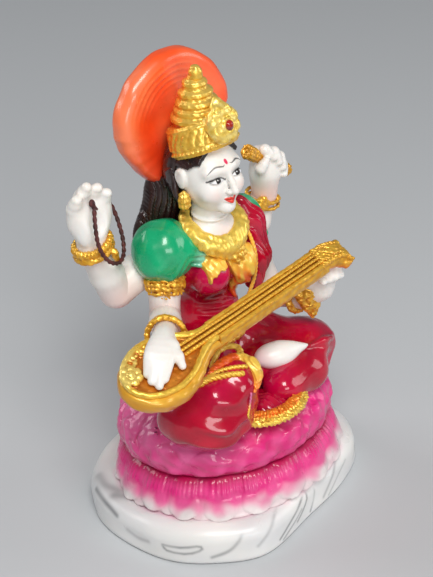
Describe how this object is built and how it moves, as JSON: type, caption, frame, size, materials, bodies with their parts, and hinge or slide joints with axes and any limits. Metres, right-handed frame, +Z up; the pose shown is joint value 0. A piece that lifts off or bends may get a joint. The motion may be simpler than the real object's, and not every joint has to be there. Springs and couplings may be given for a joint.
{
  "type": "seated goddess figurine",
  "caption": "Painted resin figurine of a seated many-armed goddess playing a lute on a lotus, on a marbled slab, with a loop of prayer cord.",
  "frame": {"origin": "middle of the slab's flat underside", "axes": "+Z up, the figure faces -Y, so her right hand is on the -X side"},
  "size_m": [0.0984, 0.0766, 0.1463],
  "materials": {
    "white_resin": "satin",
    "marble_paint": "satin",
    "pink_paint": "gloss",
    "crimson_lacquer": "gloss",
    "green_paint": "gloss",
    "orange_paint": "satin",
    "amber_paint": "satin",
    "gold_paint": "satin",
    "jewel_paint": "gloss",
    "hair_paint": "gloss",
    "cord_thread": "matte"
  },
  "bodies": {
    "figurine": {"marble_slab": "marble_paint", "lotus_lower_tier": "pink_paint", "lotus_upper_tier": "pink_paint", "sari_hem_border": "gold_paint", "sash_knot": "gold_paint", "sash_tail": "amber_paint", "leg_border": "gold_paint", "right_foot": "white_resin", "veena_strings": "gold_paint", "veena_soundboard": "gold_paint", "veena_neck": "gold_paint", "veena_gourd": "gold_paint", "veena_peghead": "gold_paint", "bangle_front_right": "gold_paint", "bangle_front_left": "gold_paint", "bangle_rear_right": "gold_paint", "bangle_rear_left": "gold_paint", "armlet_right": "gold_paint", "armlet_left": "gold_paint", "scroll": "gold_paint", "crown_jewel": "jewel_paint", "crown_front_plate": "gold_paint", "crown_finial": "gold_paint", "crown_tower": "gold_paint", "crown_band": "gold_paint", "earring_right": "gold_paint", "earring_left": "gold_paint", "necklace_pendant": "gold_paint", "necklace_collar": "gold_paint", "chest_sash": "amber_paint", "waist_belt": "gold_paint", "head": "white_resin", "halo": "orange_paint", "hand_front_right": "white_resin", "hand_front_left": "white_resin", "hand_rear_right": "white_resin", "hand_rear_left": "white_resin", "pallu_drape": "crimson_lacquer", "sleeve_right": "green_paint", "sleeve_left": "green_paint", "forearm_front_right": "white_resin", "forearm_front_left": "white_resin", "forearm_rear_right": "white_resin", "forearm_rear_left": "white_resin", "upper_arm_front_right": "white_resin", "upper_arm_front_left": "white_resin", "upper_arm_rear_right": "white_resin", "upper_arm_rear_left": "white_resin", "neck_and_chest": "white_resin", "blouse": "crimson_lacquer", "skirt_left_leg": "crimson_lacquer", "skirt_right_leg": "crimson_lacquer", "skirt_pleats": "crimson_lacquer", "skirt_hips": "crimson_lacquer", "hair": "hair_paint"},
    "prayer_loop": {"cord_knot": "cord_thread", "prayer_cord": "cord_thread"}
  },
  "joints": [
    {"name": "prayer_cord_swing", "type": "hinge", "parent": "figurine", "child": "prayer_loop", "pos_m": [-0.0354, 0.0038, 0.1136], "axis": [-0.5504, -0.8094, 0.205], "range_deg": [0, 10]}
  ]
}
